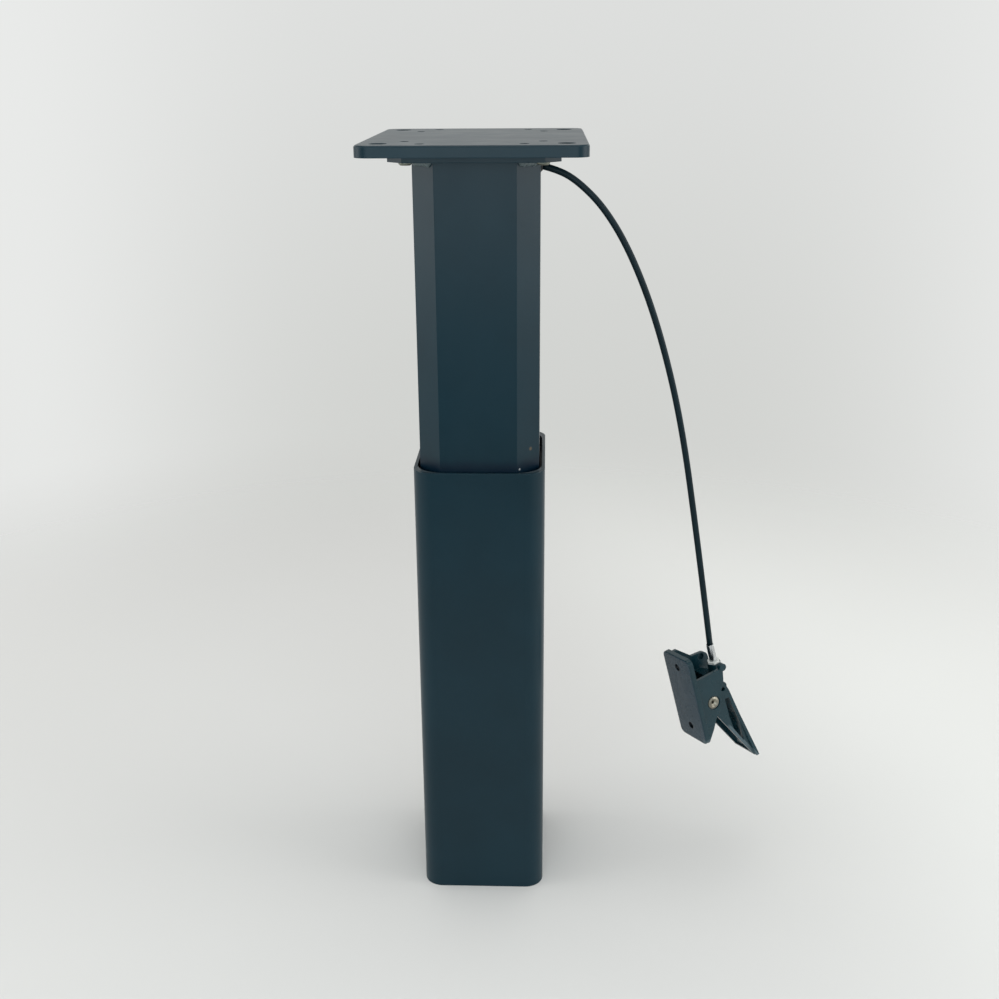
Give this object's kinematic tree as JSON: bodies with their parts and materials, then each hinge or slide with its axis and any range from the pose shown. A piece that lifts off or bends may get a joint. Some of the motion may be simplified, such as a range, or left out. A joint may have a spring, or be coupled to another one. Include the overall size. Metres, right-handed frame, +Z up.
{
  "type": "pneumatic lifting column",
  "caption": "Telescopic gas-spring lifting column: rectangular outer tube, eight-sided inner tube, drilled top plate, and a hand release lever on a sheathed cable.",
  "frame": {"origin": "middle of the base plate's underside, on the floor", "axes": "+Z up along the column, +X towards the side where the release cable leaves, -Y towards the viewer"},
  "size_m": [0.2503, 0.16, 0.488],
  "materials": {
    "column_paint": "satin",
    "base_steel": "machined",
    "zinc_screw": "zinc plated",
    "cylinder_paint": "satin",
    "rod_chrome": "polished",
    "guide_plastic": "matt",
    "seal_rubber": "matt",
    "head_aluminium": "cast",
    "sheath_plastic": "satin",
    "wire_steel": "drawn",
    "handle_plastic": "fine grain",
    "ferrule_metal": "drawn",
    "collar_plastic": "moulded",
    "nipple_zinc": "die cast"
  },
  "bodies": {
    "outer_column": {"outer_tube": "column_paint", "base_plate": "base_steel", "base_screw": "zinc_screw", "gas_cylinder": "cylinder_paint", "cylinder_plug": "base_steel", "rod_guide": "guide_plastic", "rod_seal": "seal_rubber", "upper_guide_bush": "guide_plastic"},
    "lift_column": {"inner_tube": "column_paint", "lower_guide_shoe": "guide_plastic", "flange_plate": "column_paint", "weld_beads": "column_paint", "top_plate": "column_paint", "flange_screws": "zinc_screw", "release_head": "head_aluminium", "head_screws": "zinc_screw", "release_pivot_pin": "base_steel", "gas_rod": "rod_chrome", "rod_lock_nut": "base_steel", "piston": "base_steel", "piston_ring": "guide_plastic", "cable_grommet": "seal_rubber", "inner_sheath": "sheath_plastic", "inner_ferrule": "base_steel"},
    "valve_lever": {"release_lever": "base_steel"},
    "valve_wire": {"release_wire": "wire_steel"},
    "valve_pin": {"release_pin": "base_steel"},
    "release_handle": {"handle_bracket": "handle_plastic", "pivot_rivet": "zinc_screw", "adjuster_ferrule": "ferrule_metal", "adjuster_nut": "collar_plastic", "cable_sheath": "sheath_plastic"},
    "hand_lever": {"hand_lever": "handle_plastic", "wire_nipple": "nipple_zinc"},
    "handle_wire": {"lever_wire": "wire_steel"}
  },
  "joints": [
    {"name": "column_lift", "type": "slide", "parent": "outer_column", "child": "lift_column", "axis": [0, 0, 1], "range_m": [-0.17, 0]},
    {"name": "handle_swing", "type": "hinge", "parent": "lift_column", "child": "release_handle", "pos_m": [0.0378, 0, 0.473], "axis": [0, -1, 0], "range_deg": [0, 28]},
    {"name": "hand_lever_turn", "type": "hinge", "parent": "release_handle", "child": "hand_lever", "pos_m": [0.14621, -0.00745, 0.12627], "axis": [-0.4845, 0.866, -0.1235], "range_deg": [0, 14], "stiffness_Nm_per_rad": 0.5, "springref_deg": -11.46},
    {"name": "handle_wire_pull", "type": "slide", "parent": "release_handle", "child": "handle_wire", "axis": [0.247, 0, -0.969], "range_m": [0, 0.0037]},
    {"name": "valve_lever_turn", "type": "hinge", "parent": "lift_column", "child": "valve_lever", "pos_m": [-0.0085, 0, 0.459], "axis": [0, 1, 0], "range_deg": [0, 17.6]},
    {"name": "valve_wire_pull", "type": "slide", "parent": "lift_column", "child": "valve_wire", "axis": [1, 0, 0], "range_m": [0, 0.0037]},
    {"name": "valve_pin_push", "type": "slide", "parent": "lift_column", "child": "valve_pin", "axis": [0, 0, -1], "range_m": [0, 0.0026]}
  ],
  "couplings": [
    {"joint": "handle_swing", "follows": "column_lift", "rad_per_m": -2.874},
    {"joint": "handle_wire_pull", "follows": "hand_lever_turn", "m_per_rad": 0.01498},
    {"joint": "valve_lever_turn", "follows": "hand_lever_turn", "ratio": 1.2483},
    {"joint": "valve_wire_pull", "follows": "hand_lever_turn", "m_per_rad": 0.01498},
    {"joint": "valve_pin_push", "follows": "hand_lever_turn", "m_per_rad": 0.0106}
  ]
}
